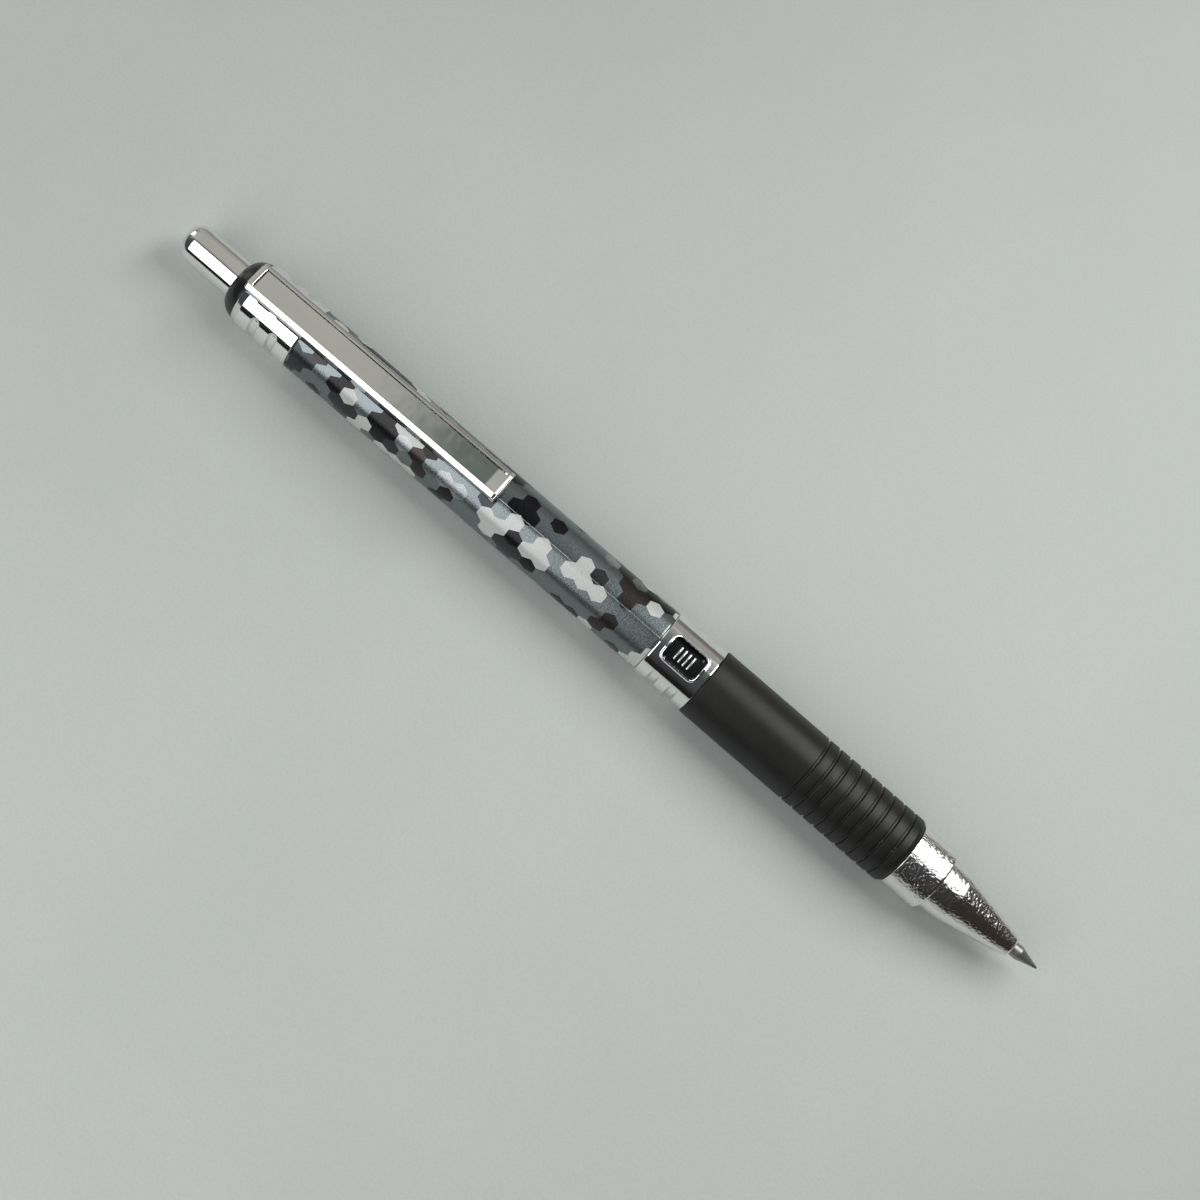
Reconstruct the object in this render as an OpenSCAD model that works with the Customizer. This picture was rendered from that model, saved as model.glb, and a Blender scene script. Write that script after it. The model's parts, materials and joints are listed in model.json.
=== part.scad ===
// Clutch lead holder for 2 mm leads, lying along X with its writing end at +X
// and its pocket clip straight up. All sizes are in millimetres.
// Stations along the pen are counted from the back of the push button.

/* [Push button] */
// Diameter of the push button
button_d = 5.5; // [5.4:0.05:5.6]
// Length of button that shows behind the end plug
button_show = 9.1; // [8.5:0.1:10]
// How far the button travels when it is pressed
push_stroke = 3; // [2:0.5:3]

/* [Tail end] */
// Length of the black end plug that shows
plug_show = 2.3; // [2:0.1:2.8]
// Diameter of the end plug where it meets the upper band
plug_d = 8.9; // [8.6:0.1:9.2]
// Length of the upper band
upper_band_len = 9.45; // [9:0.05:11]
// Diameter of the upper band over its pads
upper_band_d = 9.6; // [9.4:0.1:9.8]

/* [Pocket clip] */
// Length of the clip
clip_len = 42.3; // [36:0.1:46]
// Width of the clip
clip_w = 4.5; // [4:0.1:5]
// Height of the clip's side walls
clip_h = 2; // [1.8:0.1:2.2]
// Angle at which the clip rises towards its tip
clip_rise = 0.95; // [0.6:0.05:1.2]

/* [Barrel] */
// Length of the printed barrel that shows
barrel_len = 60.85; // [50:0.05:70]
// Diameter of the barrel with its printed film
barrel_d = 9.33; // [9.2:0.01:9.5]
// Thickness of the printed film
film_t = 0.09; // [0.05:0.01:0.15]

/* [Grade band] */
// Length of the turning grade band
grade_band_len = 8.15; // [8:0.05:9]
// Diameter of the grade band over its pads
grade_band_d = 10; // [9.9:0.05:10.1]
// Turn of the window away from the clip, in degrees
window_turn = 9; // [-20:1:20]
// Length of the window's frame
window_len = 5.9; // [5:0.1:6.2]
// Width of the window's frame
window_w = 4.25; // [3.6:0.05:4.6]

/* [Grip] */
// Length of the rubber grip
grip_len = 34.5; // [32:0.1:38]
// Diameter of the rubber grip
grip_d = 10.15; // [10.1:0.05:10.5]
// Number of grooves round the grip
groove_count = 9; // [4:1:10]
// Distance from one groove to the next
groove_pitch = 1.845; // [1.6:0.005:1.9]

/* [Nose] */
// Diameter of the nose sleeve
collar_d = 9.5; // [9.2:0.1:9.8]
// Length of the nose sleeve
collar_len = 5.7; // [5.5:0.1:6.5]
// Length of the nose cone in front of the sleeve
cone_len = 13.35; // [13.2:0.05:14]
// Diameter of the nose cone at the sleeve
cone_d = 7.9; // [7.8:0.05:7.9]
// Diameter of the nose cone at its mouth
mouth_d = 3.15; // [3:0.05:3.4]

/* [Lead] */
// Diameter of the lead
lead_d = 2; // [1.9:0.01:2]
// Length of lead that shows in front of the mouth
lead_show = 4.3; // [3.5:0.1:6]
// Full length of the lead
lead_len = 90; // [60:5:110]

/* [Hidden] */

$fn = 96;
// Cut that runs clear past a face
past = 1;
// Radial gap of a running fit, of a fixed fit, and of a loose one
run_gap = 0.05;
seat_gap = 0.02;
loose_gap = 0.1;

// Stations along the pen
x_plug = button_show;
x_band = x_plug + plug_show;
x_barrel = x_band + upper_band_len;
x_grade = x_barrel + barrel_len;
x_grip = x_grade + grade_band_len;
x_collar = x_grip + grip_len;
x_cone = x_collar + collar_len;
x_mouth = x_cone + cone_len;
x_tip = x_mouth + lead_show;

// The pen lies on its grip, with the middle of its length at the origin
axis_z = grip_d / 2;
tail_x = -x_tip / 2;

// Push button, eraser and lead tube
button_r = button_d / 2;
button_bore_r = 2.35;
button_skirt = push_stroke + 4.9;
skirt_gap = 0.4;
skirt_taper = 0.1;
button_end = x_plug + button_skirt;
dome_r = 1.9;
tube_r = button_bore_r - run_gap;
tube_bore_r = 1.9;
x_cup = 4.5;
x_tube = 8.6;
cup_r = 2.2;
eraser_r = 1.6;
eraser_back = 1.6;
cup_floor = 0.7;

// Barrel
barrel_r = barrel_d / 2 - film_t;
bore_r = 3.3;
rear_spigot_r = 4;
front_spigot_r = 3.75;
spigot_len = 10.15;
plug_step = 1.15;
film_back = x_barrel + 0.02;
film_front = x_grade - 0.02;

// Pads and slots on the two bands
slot_w = 1.15;
slot_pitch = 3.05;
slot_angle = 57;
slot_depth = 0.3;

// Clip
clip_wall = 0.55;
clip_roof = 0.8;
rim_w = 0.45;
recess = 0.22;
clip_top = 6.8;
foot_len = 3;
foot_w = 2.8;
foot_gap = 0.3;
boss_len = 5.6;
boss_w = 3.3;
boss_r = 4.2;
boss_clear = 0.15;
lip_len = 0.75;
lip_h = 0.25;

// Grade band, its window and the drum under it
band_gap = 0.05;
drum_r = 4.3;
drum_end_gap = 0.12;
band_bore_r = 4.42;
band_flange = 0.9;
boss_back = 1.05;
window_corner = 1;
window_rim = 0.35;
window_rise = 0.2;

// Grip
core_r = 4.2;
core_bore_r = 3;
groove_w = 0.45;
groove_depth = 0.3;
first_groove = 17.65;
grip_round = 0.9;

// Nose and chuck, counted from the front of the nose sleeve
sleeve_r = 3.1;
sleeve_bore_r = 2.5;
x_seat = x_cone - 10.55;
seat_wall = 1.2;
x_sleeve_end = x_cone + 0.95;
x_thread = x_cone - 2.95;
core_spigot_r = 3.63;
cone_back = x_thread + 0.1;
cone_straight = 3.3;
cavity_len = 5.95;
x_brake = x_mouth - 4.6;
brake_len = 2.2;
brake_r = 1.5;
x_flange = x_cone - 21.05;
coupling_len = 9;
coupling_r = core_bore_r - loose_gap;
socket_len = 5;
collar_boss_r = 1.9;
chuck_r = 1.5;
chuck_bore_r = lead_d / 2 + 0.1;
x_chuck_back = x_flange - 1.5;
x_chuck_front = x_cone - 11.55;
x_jaw_root = x_chuck_front + 0.1;
x_head = x_cone - 2.55;
x_jaw_tip = x_cone + 1.45;
head_back_r = 1.55;
head_front_r = 2.1;
jaw_grip_r = lead_d / 2 + 0.03;
jaw_slit = 0.3;
x_ring = x_cone - 3.15;
ring_len = 2;
ring_r = 2.4;
ring_bore_r = 1.8;

// Return spring
spring_r = 2.3;
wire_r = 0.22;
spring_turns = 6.5;
wire_sides = 6;
rings_per_turn = 14;

// A shape drawn along +Z comes to lie along the pen, its +X pointing up
module along_pen() {
    translate([tail_x, 0, axis_z])
        rotate([0, 90, 0])
            rotate([0, 0, 180])
                children();
}

// A shape drawn with X along the pen and Z up from its axis
module over_pen() {
    translate([tail_x, 0, axis_z])
        children();
}

// A turned piece: the outline's points are [radius, station]
module turned(outline) {
    along_pen()
        rotate_extrude()
            polygon(outline);
}

// A plain tube between two stations
module tube(r_out, r_in, from, to) {
    turned([[r_in, from], [r_out, from], [r_out, to], [r_in, to]]);
}

// Points of an arc, as [radius, station], between two angles from the radial direction
function arc(r, from, to, centre, steps = 8) = [
    for (i = [0:steps])
        let (a = from + (to - from) * i / steps)
            [centre[0] + r * cos(a), centre[1] + r * sin(a)]
];

module push_button() {
    shoulder = x_cup - 0.02;
    // inside the end plug the skirt tapers a little
    x_skirt = x_plug - skirt_gap;
    skirt_r = button_r - skirt_taper;
    color("gainsboro")
        turned(concat(
            [[0, 0]],
            arc(dome_r, -90, 0, [button_r - dome_r, dome_r]),
            [[button_r, x_skirt], [skirt_r, button_end], [button_bore_r, button_end]],
            [[button_bore_r, shoulder], [eraser_r + 0.15, shoulder]],
            [[eraser_r + 0.15, 1], [0, 1]]
        ));
}

module eraser() {
    front = x_tube - cup_floor;
    round_r = 0.5;
    color("whitesmoke")
        turned(concat(
            [[0, front], [0, eraser_back]],
            arc(round_r, -90, 0, [eraser_r - round_r, eraser_back + round_r], 5),
            [[eraser_r, front]]
        ));
}

module eraser_holder() {
    floor_x = x_tube - cup_floor;
    plug_front = x_tube + 4;
    color("silver")
        turned([
            [eraser_r + seat_gap, x_cup], [cup_r, x_cup], [cup_r, x_tube],
            [tube_bore_r - seat_gap, x_tube], [tube_bore_r - seat_gap, plug_front],
            [0, plug_front], [0, floor_x], [eraser_r + seat_gap, floor_x]
        ]);
}

module lead_tube() {
    color("lightsteelblue")
        tube(tube_r, tube_bore_r, x_tube, x_flange - coupling_len + socket_len);
}

module end_plug() {
    hole_r = button_r + 0.07;
    round_r = 2.7;
    centre = [plug_d / 2 - round_r, x_band + 0.2];
    hole_angle = -acos((hole_r - centre[0]) / round_r);
    face_angle = -asin(0.2 / round_r);
    color("#1a1b1d")
        turned(concat(
            arc(round_r, hole_angle, face_angle, centre),
            [[rear_spigot_r, x_band], [rear_spigot_r, x_band + plug_step]],
            [[bore_r - seat_gap, x_band + plug_step], [bore_r - seat_gap, x_band + 4.1]],
            [[hole_r, x_band + 4.1]]
        ));
}

// Two upright slots on each side of a band, cut to a floor of radius floor_r.
// Each slot is centred offset from the middle of the band and ends in half rounds.
module side_slots(band_mid, band_r, floor_r) {
    reach = band_r * cos(slot_angle);
    difference() {
        for (side = [-1, 1], end = [-1, 1])
            translate([band_mid + end * slot_pitch / 2, side * band_r, 0])
                rotate([90, 0, 0])
                    translate([0, 0, -band_r / 2])
                        linear_extrude(band_r)
                            union() {
                                square([slot_w, 2 * reach], center = true);
                                translate([0, reach])
                                    circle(d = slot_w);
                                translate([0, -reach])
                                    circle(d = slot_w);
                            }
        rotate([0, 90, 0])
            cylinder(r = floor_r, h = x_tip);
    }
}

module upper_band() {
    band_r = upper_band_d / 2;
    lead_in = 1;
    edge_r = plug_d / 2;
    mid = x_band + upper_band_len / 2 + 0.4;
    foot_x = x_band + foot_gap;
    color("gainsboro")
        difference() {
            turned(concat(
                [[rear_spigot_r + seat_gap, x_band], [edge_r, x_band]],
                [[band_r, x_band + lead_in], [band_r, x_barrel]],
                [[rear_spigot_r + seat_gap, x_barrel]]
            ));
            over_pen()
                side_slots(mid, band_r, band_r - slot_depth);
            // slot that takes the clip's foot
            over_pen()
                translate([foot_x + 1.2, -foot_w / 2 - foot_gap, 0])
                    cube([foot_len + 2 * foot_gap, foot_w + 2 * foot_gap, band_r + past]);
        }
}

// The clip's bar before it is set at its rise: X along it, Z = 0 on its top face
module clip_bar() {
    inner_w = clip_w - 2 * clip_wall;
    difference() {
        translate([0, -clip_w / 2, -clip_h])
            cube([clip_len, clip_w, clip_h]);
        translate([clip_wall, -inner_w / 2, -clip_h - past])
            cube([clip_len - 2 * clip_wall, inner_w, clip_h - clip_roof + past]);
        translate([rim_w, -clip_w / 2 + rim_w, -recess])
            cube([clip_len - 2 * rim_w - lip_len, clip_w - 2 * rim_w, recess + past]);
    }
    translate([clip_len - lip_len, -clip_w / 2, 0])
        rotate([90, 0, 180])
            linear_extrude(clip_w)
                polygon([[0, 0], [-lip_len, 0], [-lip_len, lip_h]]);
}

module pocket_clip() {
    head_x = x_band + 0.1;
    web_len = 1.3;
    foot_x = x_band + 1.2 + 2 * foot_gap;
    boss_mid = head_x + clip_len - 5.3;
    boss_low = barrel_d / 2 + boss_clear;
    color("gainsboro")
        over_pen() {
            difference() {
                union() {
                    translate([head_x, 0, clip_top])
                        rotate([0, -clip_rise, 0])
                            clip_bar();
                    // web that closes the head down to the band
                    translate([head_x + 0.5, -clip_w / 2 + 0.15, clip_top - clip_h - 0.4])
                        cube([web_len, clip_w - 0.3, clip_h]);
                    // foot that enters the band's slot
                    translate([foot_x, -foot_w / 2, rear_spigot_r + 0.25])
                        cube([foot_len, foot_w, clip_top - rear_spigot_r - 0.8]);
                }
                // the head stays clear of the band, all but its foot
                difference() {
                    rotate([0, 90, 0])
                        cylinder(r = upper_band_d / 2 + 0.2, h = x_barrel);
                    translate([foot_x, -foot_w / 2, 0])
                        cube([foot_len, foot_w, clip_top]);
                }
            }
            // rounded boss under the tip, which presses cloth against the barrel
            intersection() {
                translate([boss_mid, boss_w / 2, boss_low + boss_r])
                    rotate([90, 0, 0])
                        cylinder(r = boss_r, h = boss_w);
                translate([boss_mid - boss_len / 2, -boss_w / 2, 0])
                    cube([boss_len, boss_w, clip_top]);
            }
        }
}

module barrel_tube() {
    color("#6c7075")
        turned([
            [bore_r, x_band + plug_step + loose_gap],
            [rear_spigot_r, x_band + plug_step + loose_gap],
            [rear_spigot_r, x_barrel], [barrel_r, x_barrel], [barrel_r, x_grade],
            [front_spigot_r, x_grade], [front_spigot_r, x_grade + spigot_len],
            [bore_r, x_grade + spigot_len]
        ]);
}

module barrel_film() {
    color("#7d868c")
        tube(barrel_r + film_t, barrel_r, film_back, film_front);
}

module grade_drum() {
    back = x_grade + band_gap + band_flange + drum_end_gap;
    front = x_grip - boss_back - band_gap;
    color("#101113")
        tube(drum_r, front_spigot_r + seat_gap, back, front);
}

// Plan of a rectangle with round corners, X along the pen
module rounded_plan(length, width, corner) {
    union() {
        square([length - 2 * corner, width], center = true);
        square([length, width - 2 * corner], center = true);
        for (sx = [-1, 1], sy = [-1, 1])
            translate([sx * (length / 2 - corner), sy * (width / 2 - corner)])
                circle(r = corner);
    }
}

module grade_band() {
    band_r = grade_band_d / 2;
    back = x_grade + band_gap;
    front = x_grip - band_gap;
    mid = (back + front) / 2;
    color("gainsboro")
        difference() {
            union() {
                turned([
                    [front_spigot_r + run_gap, back], [band_r, back], [band_r, front],
                    [band_bore_r, front], [band_bore_r, back + band_flange],
                    [front_spigot_r + run_gap, back + band_flange]
                ]);
                // raised frame round the window
                over_pen()
                    rotate([window_turn, 0, 0])
                        difference() {
                            intersection() {
                                translate([mid, 0, 0])
                                    linear_extrude(grade_band_d)
                                        rounded_plan(window_len, window_w, window_corner);
                                rotate([0, 90, 0])
                                    cylinder(r = band_r + window_rise, h = x_tip);
                            }
                            rotate([0, 90, 0])
                                cylinder(r = band_r - 0.2, h = x_tip);
                        }
            }
            over_pen()
                rotate([window_turn, 0, 0])
                    side_slots(mid, band_r, band_r - slot_depth);
            // the window itself
            over_pen()
                rotate([window_turn, 0, 0])
                    translate([mid, 0, 0])
                        linear_extrude(grade_band_d)
                            rounded_plan(
                                window_len - 2 * window_rim,
                                window_w - 2 * window_rim,
                                window_corner - window_rim
                            );
        }
}

module grip_core() {
    screw_end = x_grade + spigot_len + 0.05;
    color("#232426")
        turned([
            [front_spigot_r + seat_gap, x_grip - boss_back],
            [band_bore_r - run_gap, x_grip - boss_back], [band_bore_r - run_gap, x_grip],
            [core_r, x_grip], [core_r, x_collar],
            [core_spigot_r, x_collar], [core_spigot_r, x_thread],
            [sleeve_r + seat_gap, x_thread], [sleeve_r + seat_gap, x_seat - 0.05],
            [core_bore_r, x_seat - 0.05], [core_bore_r, screw_end],
            [front_spigot_r + seat_gap, screw_end]
        ]);
}

module grip_sleeve() {
    outer = grip_d / 2;
    edge = 0.15;
    flank = 0.1;
    color("#1d1d1e")
        turned(concat(
            [[core_r, x_grip], [outer - edge, x_grip], [outer, x_grip + edge]],
            [
                for (i = [0:groove_count - 1], p = [0:3])
                    let (x = x_grip + first_groove + i * groove_pitch)
                        p == 0 ? [outer, x - groove_w / 2]
                        : p == 1 ? [outer - groove_depth, x - groove_w / 2 + flank]
                        : p == 2 ? [outer - groove_depth, x + groove_w / 2 - flank]
                        : [outer, x + groove_w / 2]
            ],
            arc(grip_round, 0, 70, [outer - grip_round, x_collar - grip_round * sin(70)], 6),
            [[core_r, x_collar]]
        ));
}

module nose_sleeve() {
    outer = collar_d / 2;
    edge = 0.45;
    color("silver")
        turned(concat(
            [[core_spigot_r + seat_gap, x_collar], [outer, x_collar]],
            arc(edge, 0, 90, [outer - edge, x_cone - edge], 5),
            [[cone_d / 2 + run_gap, x_cone], [cone_d / 2 + run_gap, x_thread]],
            [[core_spigot_r + seat_gap, x_thread]]
        ));
}

module nose_cone() {
    outer = cone_d / 2;
    round_r = 0.3;
    x_straight = x_cone + cone_straight;
    cavity_end = x_cone + cavity_len;
    color("silver")
        turned(concat(
            [[sleeve_r + loose_gap, cone_back], [outer, cone_back], [outer, x_cone + 0.3]],
            [[outer - 0.18, x_straight]],
            [[mouth_d / 2 + 0.05, x_mouth - round_r]],
            arc(round_r, 10, 90, [mouth_d / 2 - round_r, x_mouth - round_r], 5),
            [[lead_d / 2 + 0.12, x_mouth], [lead_d / 2 + 0.12, x_brake + brake_len]],
            [[brake_r + seat_gap, x_brake + brake_len], [brake_r + seat_gap, x_brake]],
            [[sleeve_bore_r, cavity_end], [sleeve_bore_r, x_sleeve_end + loose_gap]],
            [[sleeve_r + loose_gap, x_sleeve_end + loose_gap]]
        ));
}

module lead_brake() {
    color("dimgray")
        tube(brake_r, lead_d / 2 + seat_gap, x_brake + 0.02, x_brake + brake_len - 0.02);
}

module tube_coupling() {
    back = x_flange - coupling_len;
    socket = back + socket_len;
    color("#2f3032")
        turned([
            [tube_r + seat_gap, back], [coupling_r, back], [coupling_r, x_flange],
            [collar_boss_r, x_flange], [collar_boss_r, x_flange + 2],
            [chuck_r + seat_gap, x_flange + 2], [chuck_r + seat_gap, x_chuck_back],
            [chuck_bore_r, x_chuck_back], [tube_bore_r, socket], [tube_r + seat_gap, socket]
        ]);
}

// Centre of the spring's wire at turn t, as a point round +Z
function coil_point(t, length) = [
    spring_r * cos(360 * t),
    spring_r * sin(360 * t),
    wire_r + (length - 2 * wire_r) * t / spring_turns
];

module return_spring() {
    back = x_flange + 0.02;
    length = x_seat - 0.02 - back;
    rings = ceil(spring_turns * rings_per_turn);
    points = [
        for (i = [0:rings], k = [0:wire_sides - 1])
            let (
                t = spring_turns * i / rings,
                c = coil_point(t, length),
                a = 360 * k / wire_sides,
                out = spring_r + wire_r * cos(a)
            )
                [out * cos(360 * t), out * sin(360 * t), c[2] + wire_r * sin(a)]
    ];
    sides = [
        for (i = [0:rings - 1], k = [0:wire_sides - 1])
            let (
                k2 = (k + 1) % wire_sides,
                low = i * wire_sides,
                high = (i + 1) * wire_sides
            )
                [low + k, high + k, high + k2, low + k2]
    ];
    back_cap = [for (k = [0:wire_sides - 1]) k];
    front_cap = [for (k = [0:wire_sides - 1]) (rings + 1) * wire_sides - 1 - k];
    color("lightgray")
        along_pen()
            translate([0, 0, back])
                polyhedron(points, concat(sides, [back_cap, front_cap]), convexity = 10);
}

module chuck_collar() {
    stop = x_flange + 2.02;
    color("goldenrod")
        turned([
            [chuck_bore_r, x_chuck_back + 0.02], [chuck_r, x_chuck_back + 0.02],
            [chuck_r, stop], [collar_boss_r, stop], [collar_boss_r, stop + 1.1],
            [chuck_r, stop + 1.1], [chuck_r, x_chuck_front], [chuck_bore_r, x_chuck_front]
        ]);
}

// One of three equal jaws of the chuck, set at an angle round the pen
module chuck_jaw(angle) {
    shift = jaw_slit / 2 / sin(60);
    reach = 3 * head_front_r;
    color("goldenrod")
        intersection() {
            turned([
                [jaw_grip_r + 0.03, x_jaw_root], [chuck_r, x_jaw_root], [chuck_r, x_head],
                [head_back_r, x_head], [head_front_r, x_jaw_tip - 0.3],
                [head_front_r - 0.2, x_jaw_tip], [jaw_grip_r, x_jaw_tip],
                [jaw_grip_r, x_head], [jaw_grip_r + 0.03, x_head]
            ]);
            along_pen()
                rotate([0, 0, angle])
                    translate([shift, 0, x_jaw_root - past])
                        linear_extrude(x_jaw_tip - x_jaw_root + 2 * past)
                            polygon([
                                [0, 0], [reach * cos(60), -reach * sin(60)],
                                [reach, 0], [reach * cos(60), reach * sin(60)]
                            ]);
        }
}

module clutch_ring() {
    color("darkgoldenrod")
        tube(ring_r, ring_bore_r, x_ring, x_ring + ring_len);
}

module chuck_sleeve() {
    wall_front = x_seat + seat_wall;
    color("goldenrod")
        turned([
            [chuck_r + 0.15, x_seat], [sleeve_r, x_seat], [sleeve_r, x_sleeve_end],
            [sleeve_bore_r, x_sleeve_end], [sleeve_bore_r, wall_front],
            [chuck_r + 0.15, wall_front]
        ]);
}

module lead() {
    lead_r = lead_d / 2;
    taper = 3.05;
    point_r = 0.13;
    color("#3c3d40")
        turned([
            [0, x_tip - lead_len], [lead_r, x_tip - lead_len], [lead_r, x_tip - taper],
            [lead_r * 0.6, x_tip - taper * 0.56], [point_r, x_tip], [0, x_tip]
        ]);
}

push_button();
eraser();
eraser_holder();
lead_tube();
end_plug();
upper_band();
pocket_clip();
barrel_tube();
barrel_film();
grade_drum();
grade_band();
grip_core();
grip_sleeve();
nose_sleeve();
nose_cone();
lead_brake();
tube_coupling();
return_spring();
chuck_collar();
chuck_jaw(0);  // chuck_jaw_1
chuck_jaw(120);  // chuck_jaw_2
chuck_jaw(240);  // chuck_jaw_3
clutch_ring();
chuck_sleeve();
lead();
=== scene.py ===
"""Looks of a clutch lead holder for 2 mm leads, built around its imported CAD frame.

The holder lies along X with its writing end at +X and its clip straight up. Shapes are worked
out in millimetres: a station counts along the holder from the back of its push button, and
heights and radii count from its axis. place() turns them into the frame's metres.
"""

import json
import math

import bmesh
import bpy
from mathutils import Matrix, Vector


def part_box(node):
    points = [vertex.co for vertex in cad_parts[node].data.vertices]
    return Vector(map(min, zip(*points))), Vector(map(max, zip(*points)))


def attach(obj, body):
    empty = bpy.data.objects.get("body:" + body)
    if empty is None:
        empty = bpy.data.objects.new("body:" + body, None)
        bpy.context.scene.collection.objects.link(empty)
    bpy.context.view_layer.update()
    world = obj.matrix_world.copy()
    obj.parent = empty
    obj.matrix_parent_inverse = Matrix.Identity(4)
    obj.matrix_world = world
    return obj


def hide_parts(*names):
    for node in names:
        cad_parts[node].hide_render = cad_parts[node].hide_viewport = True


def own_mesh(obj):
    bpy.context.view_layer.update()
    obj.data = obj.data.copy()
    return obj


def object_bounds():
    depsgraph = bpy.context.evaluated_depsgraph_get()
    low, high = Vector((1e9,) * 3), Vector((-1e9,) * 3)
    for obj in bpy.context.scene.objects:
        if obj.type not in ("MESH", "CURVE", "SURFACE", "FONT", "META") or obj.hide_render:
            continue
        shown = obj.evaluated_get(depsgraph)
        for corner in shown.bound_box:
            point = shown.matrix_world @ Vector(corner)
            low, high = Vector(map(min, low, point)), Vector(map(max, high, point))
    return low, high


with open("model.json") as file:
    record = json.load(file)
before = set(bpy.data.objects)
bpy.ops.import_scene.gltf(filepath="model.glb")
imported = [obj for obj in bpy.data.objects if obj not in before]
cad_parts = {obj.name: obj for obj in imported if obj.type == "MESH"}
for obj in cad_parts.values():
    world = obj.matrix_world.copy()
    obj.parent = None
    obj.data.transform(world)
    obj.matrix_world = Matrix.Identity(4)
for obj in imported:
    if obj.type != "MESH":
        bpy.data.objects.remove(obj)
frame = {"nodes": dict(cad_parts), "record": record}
CAD_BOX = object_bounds()

MM = 0.001
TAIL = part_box("push_button")[0].x
AXIS = (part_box("barrel_tube")[0].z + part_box("barrel_tube")[1].z) / 2
BODY_OF = {
    node: body
    for body, nodes in frame["record"]["behaviour"]["bodies"].items()
    for node in nodes
}
SLOT_OF = {part["node"]: part["material_slot"] for part in frame["record"]["subparts"]}


def place(station, y, z):
    """A point in the frame's metres, from millimetres along, across and above the axis."""
    return (TAIL + station * MM, y * MM, AXIS + z * MM)


def span(node):
    """First station, last station and outer radius of a turned node."""
    low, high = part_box(node)
    return (low.x - TAIL) / MM, (high.x - TAIL) / MM, (high.y - low.y) / 2 / MM


# ---------------------------------------------------------------- materials


class Graph:
    """Builds a node tree one node at a time. mm is the place or direction that textures use."""

    def __init__(self, tree, mm=None):
        self.tree = tree
        self.mm = mm

    def put(self, value, socket):
        """Links value to a socket if it is an output, and sets it there if it is a number."""
        if isinstance(value, bpy.types.NodeSocket):
            self.tree.links.new(value, socket)
        else:
            socket.default_value = value

    def math(self, operation, *values):
        node = self.tree.nodes.new("ShaderNodeMath")
        node.operation = operation
        for socket, value in zip(node.inputs, values):
            self.put(value, socket)
        return node.outputs[0]

    def vector(self, operation, *values, scale=None):
        node = self.tree.nodes.new("ShaderNodeVectorMath")
        node.operation = operation
        for socket, value in zip(node.inputs, values):
            self.put(value, socket)
        if scale is not None:
            node.inputs["Scale"].default_value = scale
        return node.outputs[0]

    def split(self, vector):
        node = self.tree.nodes.new("ShaderNodeSeparateXYZ")
        self.put(vector, node.inputs[0])
        return node.outputs

    def join(self, x, y, z):
        node = self.tree.nodes.new("ShaderNodeCombineXYZ")
        for socket, value in zip(node.inputs, (x, y, z)):
            self.put(value, socket)
        return node.outputs[0]

    def noise(self, per_mm, detail=2.0, at=None, stretch=None):
        """Noise with per_mm waves in a millimetre, drawn out along an axis by stretch."""
        place_at = self.mm if at is None else at
        if stretch is not None:
            place_at = self.vector("MULTIPLY", place_at, stretch)
        node = self.tree.nodes.new("ShaderNodeTexNoise")
        node.inputs["Scale"].default_value = per_mm
        node.inputs["Detail"].default_value = detail
        self.put(place_at, node.inputs["Vector"])
        return node.outputs[0]

    def random(self, vector):
        """A random number from 0 to 1 for each value of vector."""
        node = self.tree.nodes.new("ShaderNodeTexWhiteNoise")
        node.noise_dimensions = "3D"
        self.put(vector, node.inputs["Vector"])
        return node.outputs[0]

    def range(self, value, low, high, to_low, to_high):
        """Maps low to high onto to_low to to_high, and holds the ends beyond them."""
        node = self.tree.nodes.new("ShaderNodeMapRange")
        for socket, number in zip(node.inputs, (value, low, high, to_low, to_high)):
            self.put(number, socket)
        return node.outputs[0]

    def ramp(self, value, stops, steps=False):
        """Colours along 0 to 1: stops are (place, (red, green, blue, alpha))."""
        node = self.tree.nodes.new("ShaderNodeValToRGB")
        node.color_ramp.interpolation = "CONSTANT" if steps else "LINEAR"
        elements = node.color_ramp.elements
        while len(elements) > 1:
            elements.remove(elements[-1])
        elements[0].position, elements[0].color = stops[0]
        for position, color in stops[1:]:
            elements.new(position).color = color
        self.put(value, node.inputs[0])
        return node.outputs

    def mix(self, share, first, second):
        """The first colour at share 0 and the second at share 1."""
        node = self.tree.nodes.new("ShaderNodeMix")
        node.data_type = "RGBA"
        self.put(share, node.inputs[0])
        self.put(first, node.inputs[6])
        self.put(second, node.inputs[7])
        return node.outputs[2]

    def bump(self, height, distance_mm):
        """A normal that shows a height of 0 to 1 as one of 0 to distance_mm."""
        node = self.tree.nodes.new("ShaderNodeBump")
        node.inputs["Distance"].default_value = distance_mm * MM
        self.put(height, node.inputs["Height"])
        return node.outputs[0]


class Finish(Graph):
    """A procedural material around its Principled shader."""

    def __init__(self, name, **sockets):
        self.material = bpy.data.materials.new(name)
        self.material.use_nodes = True
        super().__init__(self.material.node_tree)
        self.shader = next(n for n in self.tree.nodes if n.type == "BSDF_PRINCIPLED")
        for socket, value in sockets.items():
            self.shader.inputs[socket.replace("_", " ")].default_value = value
        coords = self.tree.nodes.new("ShaderNodeTexCoord")
        self.mm = self.vector("SCALE", coords.outputs["Object"], scale=1 / MM)

    def set(self, socket, value):
        self.put(value, self.shader.inputs[socket])


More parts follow.
